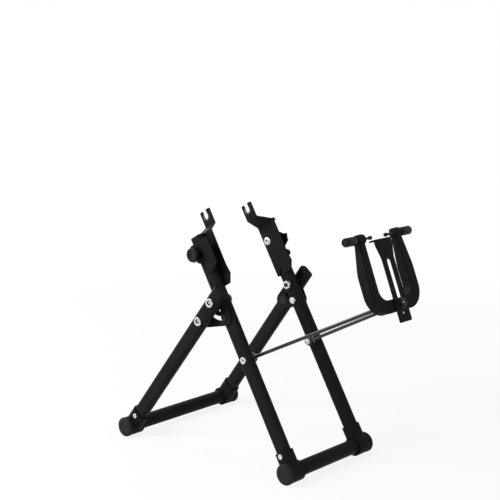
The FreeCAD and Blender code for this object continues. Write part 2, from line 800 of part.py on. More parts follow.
def lock_bolts():
    """Bolts in the slots of the gussets, low enough outside to pass under the legs."""
    x, z = lock_spot
    head_start = gusset_outer + size("running_gap")
    head = peg("lock_head_radius", x, z, head_start, "lock_head_height")
    nut_start = inner_face - size("nut_height")
    nut = hex_bar("lock_nut_radius", "nut_height", sideways(x, nut_start, z))
    shank_end = head_start + size("lock_head_height") / 2
    shank = outward_bolt("lock_bolt_radius", nut_start - size("nut_stand"), shank_end, x, z)
    keep_both(join(head, shank, nut), "lock_bolt")


def leg_fasteners():
    """Bolts between the legs and the gussets, and the rings that keep the two apart."""
    x, z = leg_bolt_spot
    outside = leg_half_track + splay * size("leg_bolt_reach") + size("tube_depth") / 2 + size("tilt_gap")
    head = socket_head("bolt_head_radius", "bolt_head_height", sideways(x, outside, z))
    shank = outward_bolt("pivot_radius", gusset_inner, outside + size("bolt_head_height") / 2, x, z)
    keep_group([join(head, shank)], "leg_bolts")
    leg_inside = leg_half_track - size("tube_depth") / 2 - size("tilt_gap")
    low_inside = leg_inside + splay * size("leg_bolt_reach")
    ring = cut(
        outward_bolt("leg_spacer_radius", gusset_outer, low_inside, x, z),
        drill("pivot_radius", x, z),
    )
    keep_group([ring], "leg_spacers")
    pivot_ring = cut(
        outward_bolt("pivot_spacer_radius", gusset_outer, leg_inside, *pivot_spot),
        loose_drill("pivot_radius", *pivot_spot),
    )
    keep_group([pivot_ring], "pivot_spacers")


# Places across the joint of the caliper arm, from the upright inward.
eye_outer = inner_face - size("eye_washer_thickness") - size("running_gap")
eye_middle = eye_outer - size("eye_width") / 2
arm_nut_start = eye_outer - size("eye_width") - size("running_gap") - size("arm_nut_height")
eye_centre = spot(arm_bolt_spot[0], eye_middle, arm_bolt_spot[1])
rod_x, rod_z = fork_spot(-size("fork_rod_drop"), -size("fork_back"))
rod_entry = spot(rod_x, size("rod_end_half_track"), rod_z)
rod_direction = (rod_entry - eye_centre).normalize()
rod_turn = Rotation(Vector(0, 0, 1), rod_direction)


def arm_bolts():
    """Bolts through the uprights that the eyes of the caliper arm turn on."""
    x, z = arm_bolt_spot
    head = small_head("arm_head_radius", "arm_head_height", sideways(x, outer_face, z))
    washer = peg("eye_radius", x, z, inner_face - size("eye_washer_thickness"), "eye_washer_thickness")
    nut = hex_bar("arm_nut_radius", "arm_nut_height", sideways(x, arm_nut_start, z))
    shank = outward_bolt("arm_pivot_radius", arm_nut_start - size("nut_stand"), outer_face, x, z)
    keep_both(join(head, shank, washer, nut), "arm_bolt")


def arm_rods():
    """Thin rods with an eye at the upright, converging on the base of the caliper fork."""
    x, z = arm_bolt_spot
    eye = peg("eye_radius", x, z, eye_outer - size("eye_width"), "eye_width")
    start_reach = size("eye_radius") - size("rod_radius") / 2
    start = eye_centre + rod_direction * start_reach
    length = (rod_entry - start).Length + size("rod_socket_depth")
    rod = round_bar("rod_radius", length, Placement(start, rod_turn))
    bore = loose_drill("arm_pivot_radius", x, z)
    keep_both(cut(join(eye, rod, refine=False), bore), "arm_rod")


def caliper_fork():
    """Moulded fork whose arms stand on both sides of the rim, thinner at the back towards the heads."""
    outline = [
        ("fork_head_outer", "fork_head_height"),
        ("fork_bulge", "-fork_bulge_drop"),
        ("fork_bulge", "-fork_base_drop"),
        ("-fork_bulge", "-fork_base_drop"),
        ("-fork_bulge", "-fork_bulge_drop"),
        ("-fork_head_outer", "fork_head_height"),
        ("-fork_head_inner", "fork_head_height"),
        ("-fork_throat_half_width", "-fork_throat_drop"),
        ("fork_throat_half_width", "-fork_throat_drop"),
        ("fork_head_inner", "fork_head_height"),
    ]
    rounds = [
        ("fork_base_corner", (2, 3)),
        ("fork_shoulder_round", (1, 4)),
        ("fork_throat_corner", (7, 8)),
        ("fork_head_round", (0, 5, 6, 9)),
    ]
    back = -size("fork_back")
    blank = padded(outline, "fork_front + fork_back", on_fork(0, 0, back), rounds, rim="fork_edge_round")
    thin_outline = [
        ("-fork_wedge_drop", 0),
        ("-fork_wedge_top_drop", "fork_back - fork_head_back"),
        ("fork_head_height + overcut", "fork_back - fork_head_back"),
        ("fork_head_height + overcut", "-overcut"),
        ("-fork_wedge_drop", "-overcut"),
    ]
    half_width = size("fork_bulge") + size("overcut")
    thinning = padded(thin_outline, 2 * half_width, across_fork(-half_width, 0, back))
    head_x, head_z = fork_spot(0, 0)
    boss_start = size("fork_head_inner") - size("feeler_boss_stand")
    boss_length = "fork_head_outer - fork_head_inner + 2 * feeler_boss_stand"
    boss = peg("feeler_boss_radius", head_x, head_z, boss_start, boss_length)
    socket_start = rod_entry - rod_direction * size("fork_back")
    socket_depth = size("fork_back") + size("rod_socket_depth") + size("bolt_gap")
    socket = round_bar("rod_radius + bolt_gap", socket_depth, Placement(socket_start, rod_turn))
    hole_end = size("fork_front") - size("gauge_bolt_length") - size("bolt_gap")
    bolt_hole = round_bar(
        "gauge_bolt_radius + bolt_gap",
        "gauge_bolt_length + bolt_gap + overcut",
        on_fork(0, -size("gauge_bolt_drop"), hole_end),
    )
    bore = loose_drill("feeler_radius", head_x, head_z)
    body = join(cut(blank, thinning), boss, mirror(boss))
    keep(cut(body, bore, mirror(bore), socket, mirror(socket), bolt_hole), "caliper_fork")


def feelers():
    """Threaded pins with soft noses towards the rim and knurled knobs outside the fork."""
    x, z = fork_spot(0, 0)
    nose_start = size("feeler_rest_half_gap")
    nose_end = nose_start + size("feeler_tip_length")
    taper = "(feeler_tip_radius - feeler_nose_radius)"
    nose = cone("feeler_nose_radius", "feeler_tip_radius", taper, sideways(x, nose_start, z))
    collar_start = nose_start + size("feeler_tip_radius") - size("feeler_nose_radius")
    collar = peg("feeler_tip_radius", x, z, collar_start, f"feeler_tip_length - {taper}")
    pocket_start = nose_end - size("feeler_tip_bore")
    pocket = peg("feeler_radius + hinge_gap", x, z, pocket_start, "feeler_tip_bore + overcut")
    keep_both(cut(join(nose, collar), pocket), "feeler_tip")
    knob_start = size("fork_head_outer") + size("feeler_boss_stand") + size("feeler_knob_gap")
    pin_end = knob_start + size("feeler_knob_bore")
    pin = outward_bolt("feeler_radius", pocket_start + size("hinge_gap"), pin_end, x, z)
    keep_both(pin, "feeler_pin")
    chamfer = size("feeler_knob_chamfer")
    knob_end = knob_start + size("feeler_knob_length")
    end_radius = "feeler_knob_radius - feeler_knob_chamfer"
    inner_slope = cone(end_radius, "feeler_knob_radius", "feeler_knob_chamfer", sideways(x, knob_start, z))
    grip = outward_bolt("feeler_knob_radius", knob_start + chamfer, knob_end - chamfer, x, z)
    outer_place = sideways(x, knob_end - chamfer, z)
    outer_slope = cone("feeler_knob_radius", end_radius, "feeler_knob_chamfer", outer_place)
    bore_length = "feeler_knob_bore + bolt_gap + overcut"
    bore = peg("feeler_radius + bolt_gap", x, z, knob_start - size("overcut"), bore_length)
    keep_both(cut(join(inner_slope, grip, outer_slope), bore), "feeler_knob")


def gauge_plate():
    """Sliding plate in front of the fork, with a wide bent top that shows how round the rim runs."""
    outline = [
        ("gauge_half_width", "-gauge_bottom_drop"),
        ("gauge_half_width", "-gauge_neck_drop"),
        ("gauge_head_half_width", "-gauge_head_drop"),
        ("gauge_head_half_width", "-gauge_top_drop"),
        ("-gauge_head_half_width", "-gauge_top_drop"),
        ("-gauge_head_half_width", "-gauge_head_drop"),
        ("-gauge_half_width", "-gauge_neck_drop"),
        ("-gauge_half_width", "-gauge_bottom_drop"),
    ]
    back = size("fork_front") + size("hinge_gap")
    sheet_plate = padded(outline, "gauge_thickness", on_fork(0, 0, back), rounds=[("gauge_corner", (0, 7))])
    lip_outline = [
        ("gauge_head_half_width", "-gauge_top_drop"),
        ("gauge_head_half_width", "-gauge_top_drop - gauge_thickness"),
        ("-gauge_head_half_width", "-gauge_top_drop - gauge_thickness"),
        ("-gauge_head_half_width", "-gauge_top_drop"),
    ]
    lip = padded(lip_outline, "gauge_lip + gauge_thickness", on_fork(0, 0, back - size("gauge_lip")))
    slot_outline = [
        ("gauge_slot_radius", "-gauge_slot_top_drop - gauge_slot_radius"),
        ("gauge_slot_radius", "-gauge_slot_bottom_drop + gauge_slot_radius"),
        ("-gauge_slot_radius", "-gauge_slot_bottom_drop + gauge_slot_radius"),
        ("-gauge_slot_radius", "-gauge_slot_top_drop - gauge_slot_radius"),
    ]
    cut_back = size("fork_front") - size("overcut")
    depth = "gauge_thickness + hinge_gap + 2 * overcut"
    slot = [padded(slot_outline, depth, on_fork(0, 0, cut_back))]
    slot_radius = size("gauge_slot_radius")
    for drop in (size("gauge_slot_top_drop") + slot_radius, size("gauge_slot_bottom_drop") - slot_radius):
        slot.append(round_bar("gauge_slot_radius", depth, on_fork(0, -drop, cut_back)))
    hole = round_bar("gauge_hole_radius", depth, on_fork(0, -size("gauge_hole_drop"), cut_back))
    keep(cut(join(sheet_plate, lip), *slot, hole), "gauge_plate")


def gauge_bolt():
    """Bolt and washer that clamp the gauge plate to the base of the fork."""
    place = on_fork(0, -size("gauge_bolt_drop"), gauge_front + size("gauge_washer_gap"))
    washer = round_bar("washer_radius", "washer_thickness", place)
    head_place = within(place, 0, 0, size("washer_thickness"))
    head = socket_head("gauge_head_radius", "gauge_head_height", head_place)
    depth = size("gauge_bolt_length") + gauge_front - size("fork_front") + size("gauge_washer_gap")
    shank = round_bar("gauge_bolt_radius", depth + size("washer_thickness"), within(place, 0, 0, -depth))
    keep(join(washer, head, shank), "gauge_bolt")


uprights()
connectors(upright_frame, size("front_bar_reach"), size("upright_half_track"), "front")
connectors(rear_leg_frame, -size("rear_bar_reach"), rear_barrel_half_track, "rear")
crossbar(size("front_bar_reach"), size("upright_half_track"), "front")
crossbar(-size("rear_bar_reach"), rear_barrel_half_track, "rear")
foot_caps(size("front_bar_reach"), size("upright_half_track"), "front")
foot_caps(-size("rear_bar_reach"), rear_barrel_half_track, "rear")
dropout_plates()
outer_plates()
bracket_bolts()
rear_legs()
gussets()
pivot_bolts()
lock_bolts()
leg_fasteners()
arm_bolts()
arm_rods()
caliper_fork()
feelers()
gauge_plate()
gauge_bolt()
doc.recompute()

for thing in doc.Objects:
    if "Invalid" in thing.State or "Error" in thing.State:
        raise RuntimeError(f"{thing.Label} did not compute: {thing.State}")
os.makedirs("parts", exist_ok=True)
for node in nodes:
    if node.Shape.isNull() or not node.Shape.isValid():
        raise RuntimeError(f"{node.Label} has no valid shape")
    node.Shape.exportStep(f"parts/{node.Label}.step")
print(len(nodes), "sub-parts written")
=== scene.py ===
"""Bicycle wheel truing stand: looks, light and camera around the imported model."""
import math

import bmesh
import bpy
from mathutils import Matrix, Vector


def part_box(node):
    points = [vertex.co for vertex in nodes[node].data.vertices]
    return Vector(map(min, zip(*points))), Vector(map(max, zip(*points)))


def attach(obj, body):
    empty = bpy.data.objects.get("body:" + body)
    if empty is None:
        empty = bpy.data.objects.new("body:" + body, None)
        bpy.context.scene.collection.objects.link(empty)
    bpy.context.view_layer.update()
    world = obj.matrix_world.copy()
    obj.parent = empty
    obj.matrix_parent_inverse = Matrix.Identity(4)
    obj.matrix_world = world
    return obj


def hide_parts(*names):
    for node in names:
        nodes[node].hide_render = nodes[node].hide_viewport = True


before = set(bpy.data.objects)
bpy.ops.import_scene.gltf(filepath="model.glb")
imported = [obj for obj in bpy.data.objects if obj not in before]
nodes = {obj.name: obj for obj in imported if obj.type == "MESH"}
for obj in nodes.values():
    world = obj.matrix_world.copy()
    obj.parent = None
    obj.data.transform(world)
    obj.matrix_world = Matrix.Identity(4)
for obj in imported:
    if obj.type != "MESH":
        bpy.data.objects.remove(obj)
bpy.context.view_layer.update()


# Folding frame: flat-oval steel tubes, round crossbars and gussets, powder coated black in one go. The
# coat is satin and faintly cloudy, with the fine orange peel of baked powder.
SIDES = {"near": -1, "far": 1}


def new_material(name):
    """Material with its shader."""
    material = bpy.data.materials.new(name)
    material.use_nodes = True
    tree = material.node_tree
    return material, tree, tree.nodes["Principled BSDF"]


def add_node(tree, kind, **values):
    """Node with some of its properties and inputs set."""
    node = tree.nodes.new(kind)
    for name, value in values.items():
        if hasattr(node, name):
            setattr(node, name, value)
        else:
            node.inputs[name.replace("_", " ")].default_value = value
    return node


def grain(tree, scale, detail=3.0, roughness=0.5, stretch=(1.0, 1.0, 1.0)):
    """Noise in the object's own metres."""
    place = add_node(tree, "ShaderNodeTexCoord")
    mapping = add_node(tree, "ShaderNodeMapping")
    mapping.inputs["Scale"].default_value = stretch
    noise = add_node(tree, "ShaderNodeTexNoise", Scale=scale, Detail=detail, Roughness=roughness)
    tree.links.new(place.outputs["Object"], mapping.inputs["Vector"])
    tree.links.new(mapping.outputs["Vector"], noise.inputs["Vector"])
    return noise.outputs["Fac"]


def spread(tree, value, low, high, start=0.3, end=0.7):
    """A value drawn out between two others."""
    reach = add_node(tree, "ShaderNodeMapRange")
    for name, amount in (("From Min", start), ("From Max", end), ("To Min", low), ("To Max", high)):
        reach.inputs[name].default_value = amount
    tree.links.new(value, reach.inputs["Value"])
    return reach.outputs["Result"]


def tint(tree, value, dark, pale):
    """Two colours mixed by a value."""
    mix = add_node(tree, "ShaderNodeMix", data_type="RGBA")
    mix.inputs["A"].default_value = (*dark, 1)
    mix.inputs["B"].default_value = (*pale, 1)
    tree.links.new(value, mix.inputs["Factor"])
    return mix.outputs["Result"]


def soft_edges(tree, shader, height, strength, distance, radius):
    """Bump over edges that are rounded by a small radius."""
    edge = add_node(tree, "ShaderNodeBevel", samples=4, Radius=radius)
    bump = add_node(tree, "ShaderNodeBump", Strength=strength, Distance=distance)
    tree.links.new(edge.outputs["Normal"], bump.inputs["Normal"])
    tree.links.new(height, bump.inputs["Height"])
    tree.links.new(bump.outputs["Normal"], shader.inputs["Normal"])


def combine(tree, operation, first, second):
    """Two values joined by an operation."""
    node = add_node(tree, "ShaderNodeMath", operation=operation)
    tree.links.new(first, node.inputs[0])
    tree.links.new(second, node.inputs[1])
    return node.outputs["Value"]


def finish(name, dark, pale, cloud, roughness, specular=None, metallic=0.0, skin=None, bump=None, edge=0.0):
    """Material whose colour and roughness follow one grain, with another, or the same, as its bump.

    A grain is its scale, detail and roughness, and a bump its strength and its height in metres.
    """
    material, tree, shader = new_material(name)
    shade = grain(tree, *cloud)
    tree.links.new(tint(tree, shade, dark, pale), shader.inputs["Base Color"])
    tree.links.new(spread(tree, shade, *roughness), shader.inputs["Roughness"])
    shader.inputs["Metallic"].default_value = metallic
    if specular is not None:
        shader.inputs["Specular IOR Level"].default_value = specular
    if bump:
        soft_edges(tree, shader, grain(tree, *skin) if skin else shade, *bump, edge)
    return material


def dress(material, *names):
    """Gives CAD nodes a material."""
    for name in names:
        mesh = nodes[name].data
        mesh.materials.clear()
        mesh.materials.append(material)


COAT_DARK = (0.0075, 0.0075, 0.0080)
COAT_CLOUD = (0.0155, 0.0155, 0.0175)
COAT_GRAIN = (18, 4)
COAT_ROUGHNESS = (0.34, 0.46)
COAT_SPECULAR = 0.03

coat = finish(
    "black_powder_coat", COAT_DARK, COAT_CLOUD, cloud=COAT_GRAIN, roughness=COAT_ROUGHNESS,
    specular=COAT_SPECULAR, skin=(700, 2), bump=(0.12, 0.0003), edge=0.0007,
)
for side in SIDES:
    dress(coat, f"{side}_upright", f"{side}_rear_leg", f"{side}_gusset")
dress(coat, "front_crossbar", "rear_crossbar")


# Axle brackets: bent plates inside the uprights and flat plates outside them, laser cut from sheet and
# coated with the frame. Axle ends have rubbed the coat through to bare steel around the open slots.
AXLE_PLACES = [(-0.1212, 0.0512 * side, 0.4065) for side in SIDES.values()]
RUB_START = 0.0051
RUB_END = 0.0085
SCUFF_GRAIN = (420, 5, 0.7)
SCUFF_BAND = (0.42, 0.58)
SCUFF_BUMP = (0.10, 0.0003)
BRACKET_EDGE = 0.0006
BARE_STEEL = (0.30, 0.29, 0.28)


def rubbed_coat():
    """Powder coat that is worn to bare steel in patches around the axle slots."""
    material, tree, shader = new_material("rubbed_powder_coat")
    cloud = grain(tree, *COAT_GRAIN)
    scuff = grain(tree, *SCUFF_GRAIN)
    place = add_node(tree, "ShaderNodeTexCoord")
    gaps = []
    for centre in AXLE_PLACES:
        gap = add_node(tree, "ShaderNodeVectorMath", operation="DISTANCE")
        gap.inputs[1].default_value = centre
        tree.links.new(place.outputs["Object"], gap.inputs[0])
        gaps.append(gap.outputs["Value"])
    near_slot = spread(tree, combine(tree, "MINIMUM", *gaps), 1.0, 0.0, RUB_START, RUB_END)
    bare = combine(tree, "MULTIPLY", near_slot, spread(tree, scuff, 0.0, 1.0, *SCUFF_BAND))
    colour = add_node(tree, "ShaderNodeMix", data_type="RGBA")
    colour.inputs["B"].default_value = (*BARE_STEEL, 1)
    tree.links.new(bare, colour.inputs["Factor"])
    tree.links.new(tint(tree, cloud, COAT_DARK, COAT_CLOUD), colour.inputs["A"])
    tree.links.new(colour.outputs["Result"], shader.inputs["Base Color"])
    tree.links.new(bare, shader.inputs["Metallic"])
    tree.links.new(spread(tree, cloud, *COAT_ROUGHNESS), shader.inputs["Roughness"])
    shader.inputs["Specular IOR Level"].default_value = COAT_SPECULAR
    soft_edges(tree, shader, scuff, *SCUFF_BUMP, BRACKET_EDGE)
    return material


dress(rubbed_coat(), "near_dropout_plate", "far_dropout_plate", "far_hook_plate", "near_side_plate")


# Corner connectors, tube plugs and caliper fork: injection moulded glass-filled nylon, with the fine matt
# grain of a spark-eroded mould and a faint cloud of glass.
nylon = finish(
    "black_nylon", (0.0060, 0.0060, 0.0064), (0.0120, 0.0120, 0.0132), cloud=(35, 3), roughness=(0.46, 0.60),
    specular=0.04, skin=(1400, 3, 0.6), bump=(0.18, 0.0002), edge=0.0009,
)
for side in SIDES:
    dress(nylon, f"{side}_front_connector", f"{side}_rear_connector")
dress(nylon, "upright_plugs", "leg_plugs", "caliper_fork")


# Foot caps: soft black rubber pushed over the ends of the crossbars, with a groove behind the tread and a
# shallow domed end that is dished in the middle. The stand rests on them.


def spun(profile, steps=48):
    """Turned shape about Z in millimetres.

    Each point is a height, a radius and, where the shape has six flats, their distance from the axis.
    """
    bm = bmesh.new()
    flats = bm.verts.layers.float.new("flats")
    points = []
    for height, radius, *flat in profile:
        point = bm.verts.new((radius, 0, height))
        point[flats] = flat[0] if flat else 0.0
        points.append(point)
    edges = [bm.edges.new(pair) for pair in zip(points, points[1:])]
    bmesh.ops.spin(
        bm, geom=points + edges, cent=(0, 0, 0), axis=(0, 0, 1), angle=math.tau, steps=steps, use_merge=True
    )
    bmesh.ops.remove_doubles(bm, verts=bm.verts, dist=0.001)
    sixth = math.tau / 6
    for vert in bm.verts:
        radius = math.hypot(vert.co.x, vert.co.y)
        if vert[flats] and radius:
            turn = (math.atan2(vert.co.y, vert.co.x) + sixth / 2) % sixth - sixth / 2
            share = min(1.0, vert[flats] / math.cos(turn) / radius)
            vert.co.x *= share
            vert.co.y *= share
    bmesh.ops.recalc_face_normals(bm, faces=bm.faces)
    return bm


def beside(node, side, twist=0.0):
    """Place on the axis of a CAD node, with local Z outward from the middle plane in millimetres."""
    low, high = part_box(node)
    middle = (low + high) / 2
    shift = Matrix.Translation((middle.x, 0, middle.z))
    outward = Matrix.Rotation(-SIDES[side] * math.tau / 4, 4, "X")
    return shift @ outward @ Matrix.Rotation(twist, 4, "Z") @ Matrix.Scale(0.001, 4)


def make_piece(name, shapes, materials, body, slot, *replaced):
    """Finished piece from turned shapes at their places, riding on a body in the stead of CAD nodes."""
    mesh = bpy.data.meshes.new(name)
    whole = bmesh.new()
    for shape, place in shapes:
        shape.transform(place)
        part = bpy.data.meshes.new("part")
        shape.to_mesh(part)
        shape.free()
        whole.from_mesh(part)
        bpy.data.meshes.remove(part)
    bmesh.ops.recalc_face_normals(whole, faces=whole.faces)
    whole.to_mesh(mesh)
    whole.free()
    mesh.shade_smooth()
    mesh.set_sharp_from_angle(angle=math.radians(32))
    for material in materials:
        mesh.materials.append(material)
    piece = bpy.data.objects.new(name, mesh)
    bpy.context.scene.collection.objects.link(piece)
    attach(piece, body)
    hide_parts(*replaced)


rubber = finish(
    "black_rubber", (0.0110, 0.0110, 0.0120), (0.0250, 0.0250, 0.0280), cloud=(60, 5, 0.65),
    roughness=(0.55, 0.75), specular=0.08, skin=(900, 4, 0.7), bump=(0.25, 0.0003), edge=0.0006,
)
CAP_RADIUS = 17.5
CAP_LENGTH = 7.0
CAP_STEPS = 64
FEET = {"front": ("stand", 100.0), "rear": ("rear_frame", 133.0)}
for end, (body, face) in FEET.items():
    tip = face + CAP_LENGTH
    cap = [
        (face, 0), (face, 16.6), (face + 0.3, 17.2), (face + 0.9, CAP_RADIUS), (face + 2.2, CAP_RADIUS),
        (face + 2.5, 16.9), (face + 3.0, 16.9), (face + 3.3, CAP_RADIUS), (tip - 2.7, CAP_RADIUS),
        (tip - 1.7, 17.0), (tip - 1.0, 15.9), (tip - 0.6, 14.0), (tip - 0.2, 11.6), (tip, 10.4),
        (tip - 0.3, 9.6), (tip - 0.4, 0),
    ]
    for side in SIDES:
        node = f"{side}_{end}_foot_cap"
        foot = [(spun(cap, CAP_STEPS), beside(node, side))]
        make_piece(f"{side}_{end}_rubber_foot", foot, [rubber], body, "black_rubber", node)


# Bolts, nuts and washers: bright zinc plated steel with a faint cloud, with painted shade in the sockets.
# The heads of the lock bolts are blackened instead, and so are the washers and inner ends of the hinge
# bolts. The near hinge nut is blackened as well, as painted shade; the far one stays bright zinc.
zinc = finish(
    "bright_zinc", (0.64, 0.63, 0.61), (0.76, 0.75, 0.73), cloud=(120, 4), roughness=(0.20, 0.28),
    metallic=1.0, skin=(2200, 2), bump=(0.03, 0.0001), edge=0.0003,
)
blackened = finish(
    "blackened_steel", (0.012, 0.012, 0.013), (0.030, 0.030, 0.032), cloud=(150, 4), roughness=(0.30, 0.45),
    metallic=0.8, skin=(1800, 2), bump=(0.08, 0.0001), edge=0.0003,
)
# Dark cloudy colour painted into the sockets as their shade.
socket_shade = finish(
    "painted_socket_shade", (0.004, 0.004, 0.004), (0.030, 0.028, 0.025), cloud=(900, 4, 0.6),
    roughness=(0.35, 0.65), specular=0.3,
)


FLAT_SHARE = math.cos(math.tau / 12)
MIDDLE_SHARE = 0.36
SOCKET_BEVEL = 0.35


def head_outline(seat, radius, height, socket, depth, edge=0.6):
    """Points of a round bolt head from its seat outward, with a six-sided socket that has a raised middle."""
    top = seat + height
    flat = socket * FLAT_SHARE
    foot = top - depth
    middle = socket * MIDDLE_SHARE
    return [
        (seat, radius), (top - edge, radius), (top - edge * 0.3, radius - edge * 0.3), (top, radius - edge),
        (top, socket + 0.4), (top - SOCKET_BEVEL, socket, flat), (foot, socket, flat), (foot, middle),
        (foot + depth * 0.4, middle), (foot + depth * 0.6, middle * 0.6), (foot + depth * 0.65, 0),
    ]


def nut_outline(start, corner, height, chamfer=0.8):
    """Points of a six-sided nut from its inner end outward, with both ends chamfered."""
    flat = corner * FLAT_SHARE
    end = start + height
    return [(start, flat), (start + chamfer, corner, flat), (end - chamfer, corner, flat), (end, flat)]


def washer_outline(start, radius, thickness, edge=0.2):
    """Points of a flat washer."""
    end = start + thickness
    return [(start, radius - edge), (start + edge, radius), (end - edge, radius), (end, radius - edge)]


def finished(bm, index, inner, outer, low, high):
    """Gives another material to the faces between two radii and two heights."""
    for face in bm.faces:
        radii = [math.hypot(vert.co.x, vert.co.y) for vert in face.verts]
        heights = [vert.co.z for vert in face.verts]
        across = inner - 0.05 < min(radii) and max(radii) < outer + 0.05
        if across and low - 0.01 < min(heights) and max(heights) < high + 0.01:
            face.material_index = index
    return bm


def shade_socket(bm, seat, head):
    """Paints shade into the socket of a head, as a dark material round its raised middle."""
    top = seat + head["height"]
    socket = head["socket"]
    return finished(bm, 1, socket * MIDDLE_SHARE, socket, top - head["depth"], top - SOCKET_BEVEL)


TUBE_INSIDE = 78.0
TUBE_OUTSIDE = 94.0
LEG_OUTSIDE = 115.4
BIG_HEAD = {"radius": 7.6, "height": 3.0, "socket": 4.5, "depth": 2.0}
BIG_SHANK = 4.0
BIG_WASHER = 9.0
WASHER_THICKNESS = 1.5
HINGE_END = 70.0
HINGE_NUT = 71.5
HINGE_NUT_CORNER = 8.0
HINGE_NUT_FLAT = 6.9
HINGE_WASHER = TUBE_INSIDE - WASHER_THICKNESS
HINGE_SEAT = LEG_OUTSIDE + WASHER_THICKNESS
LOCK_HEAD = {"radius": 6.0, "height": 1.8, "socket": 2.6, "depth": 1.1, "edge": 0.4}
LOCK_SEAT = 96.9
LOCK_SHANK = 3.5
LOCK_SHANK_END = 97.5
LOCK_NUT = 73.0
LOCK_TWIST = 0.4

hinge_bolt = (
    [(HINGE_END, 0), (HINGE_END, 3.3), (HINGE_END + 0.7, BIG_SHANK), (HINGE_NUT, BIG_SHANK)]
    + nut_outline(HINGE_NUT, HINGE_NUT_CORNER, HINGE_WASHER - HINGE_NUT)
    + washer_outline(HINGE_WASHER, BIG_WASHER, WASHER_THICKNESS)
    + [(TUBE_INSIDE, BIG_SHANK), (LEG_OUTSIDE, BIG_SHANK)]
    + washer_outline(LEG_OUTSIDE, BIG_WASHER, WASHER_THICKNESS)
    + head_outline(HINGE_SEAT, **BIG_HEAD)
)
lock_shank = (
    [(LOCK_NUT - 1.5, 0), (LOCK_NUT - 1.5, 2.9), (LOCK_NUT - 0.9, LOCK_SHANK), (LOCK_NUT, LOCK_SHANK)]
    + nut_outline(LOCK_NUT, 6.5, TUBE_INSIDE - LOCK_NUT)
    + [(TUBE_INSIDE, LOCK_SHANK), (LOCK_SHANK_END, LOCK_SHANK), (LOCK_SHANK_END, 0)]
)
lock_head = [(LOCK_SEAT, 0)] + head_outline(LOCK_SEAT, **LOCK_HEAD)
for side in SIDES:
    node = f"{side}_pivot_bolt"
    hinge = shade_socket(spun(hinge_bolt), HINGE_SEAT, BIG_HEAD)
    for washer in (HINGE_WASHER, LEG_OUTSIDE):
        finished(hinge, 2, HINGE_NUT_FLAT, BIG_WASHER, washer, washer + WASHER_THICKNESS)
    # The near hinge nut is blackened as painted shade; the far nut keeps its zinc.
    if side == "near":
        finished(hinge, 2, 0.0, HINGE_NUT_CORNER, HINGE_END, HINGE_WASHER)
    finished(hinge, 2, 0.0, BIG_SHANK, HINGE_END, HINGE_NUT)
    finishes = [zinc, socket_shade, blackened]
    make_piece(f"{side}_hinge_bolt", [(hinge, beside(node, side))], finishes, "stand", "zinc_plate", node)
    node = f"{side}_lock_bolt"
    place = beside(node, side, LOCK_TWIST)
    make_piece(f"{side}_slot_bolt", [(spun(lock_shank), place)], [zinc], "stand", "zinc_plate", node)
    head = [(shade_socket(spun(lock_head), LOCK_SEAT, LOCK_HEAD), place)]
    make_piece(f"{side}_slot_bolt_head", head, [blackened, socket_shade], "stand", "blackened_steel", node)


# Bolts through the rear legs and gussets, seated on the legs' outer faces, with a thin black flange set
# flush in each gusset. Nylon rings keep each leg clear of its gusset, and a bright domed pin marks the
# gusset's front.
LEG_BOLT_SEAT = 116.8
LEG_BOLT_TWIST = 0.3
FLANGE_RADIUS = 7.6
FLANGE_INSIDE = 94.1
FLANGE_OUTSIDE = 94.3
leg_bolt = [
    (94.2, 0), (94.2, 1.0), (FLANGE_INSIDE, 1.6), (FLANGE_INSIDE, 4.6), (94.2, 5.2), (94.2, 6.2),
    (FLANGE_INSIDE, 6.8), (94.15, 7.4), (FLANGE_OUTSIDE, FLANGE_RADIUS), (FLANGE_OUTSIDE, BIG_SHANK),
    (LEG_BOLT_SEAT, BIG_SHANK),
] + head_outline(LEG_BOLT_SEAT, **BIG_HEAD)
leg_bolts = []
for side in SIDES:
    bolt = shade_socket(spun(leg_bolt), LEG_BOLT_SEAT, BIG_HEAD)
    finished(bolt, 2, 0.0, FLANGE_RADIUS, FLANGE_INSIDE, FLANGE_OUTSIDE)
    leg_bolts.append((bolt, beside("leg_bolts", side, LEG_BOLT_TWIST)))
make_piece("leg_cap_bolts", leg_bolts, [zinc, socket_shade, blackened], "rear_frame", "zinc_plate", "leg_bolts")
dress(nylon, "leg_spacers", "pivot_spacers")
PIN_STEPS = 24
stop_pin = [
    (94.3, 0), (94.3, 2.0), (96.8, 2.0), (96.8, 2.6), (97.2, 2.6), (97.7, 2.2), (98.1, 1.5), (98.3, 0.8),
    (98.35, 0),
]
stop_pins = [(spun(stop_pin, PIN_STEPS), beside("gusset_pins", side)) for side in SIDES]
make_piece("domed_stop_pins", stop_pins, [zinc], "rear_frame", "zinc_plate", "gusset_pins")


# Bracket bolts: low domed heads inside the uprights that hold both plates, with a moulded hand knob on
# each outer end. The knobs have ten soft lobes for the fingers and a dished face.
DRIVE_RADIUS = 2.5
DRIVE_FLAT = DRIVE_RADIUS * FLAT_SHARE
bracket_bolt = [
    (74.3, 0), (74.3, DRIVE_RADIUS, DRIVE_FLAT), (73.2, DRIVE_RADIUS, DRIVE_FLAT), (73.0, 3.0), (73.05, 3.8),
    (73.35, 5.2), (74.0, 6.5), (74.8, 7.25), (75.5, 7.5), (75.5, 4.0), (107.1, 4.0), (107.7, 3.4), (107.7, 0),
]
polished = finish(
    "polished_black_nylon", (0.0050, 0.0050, 0.0054), (0.0100, 0.0100, 0.0108), cloud=(260, 5, 0.65),
    roughness=(0.20, 0.34), specular=0.12, bump=(0.06, 0.0002), edge=0.0006,
)
KNOB_RIM = 13.0
KNOB_VALLEY = 11.9
KNOB_LOBES = 10
KNOB_STEPS = 80
hand_knob = [
    (107.9, 0), (107.9, 4.3), (97.0, 4.3), (97.0, 9.4), (97.4, 10.6), (98.4, 11.4), (99.4, 12.2),
    (100.2, 12.7), (101.2, KNOB_RIM), (104.5, KNOB_RIM), (107.8, KNOB_RIM), (109.2, 12.8), (110.4, 12.3),
    (111.3, 11.6), (111.8, 10.2), (112.0, 8.6), (111.7, 7.6), (111.2, 6.8), (111.0, 0),
]
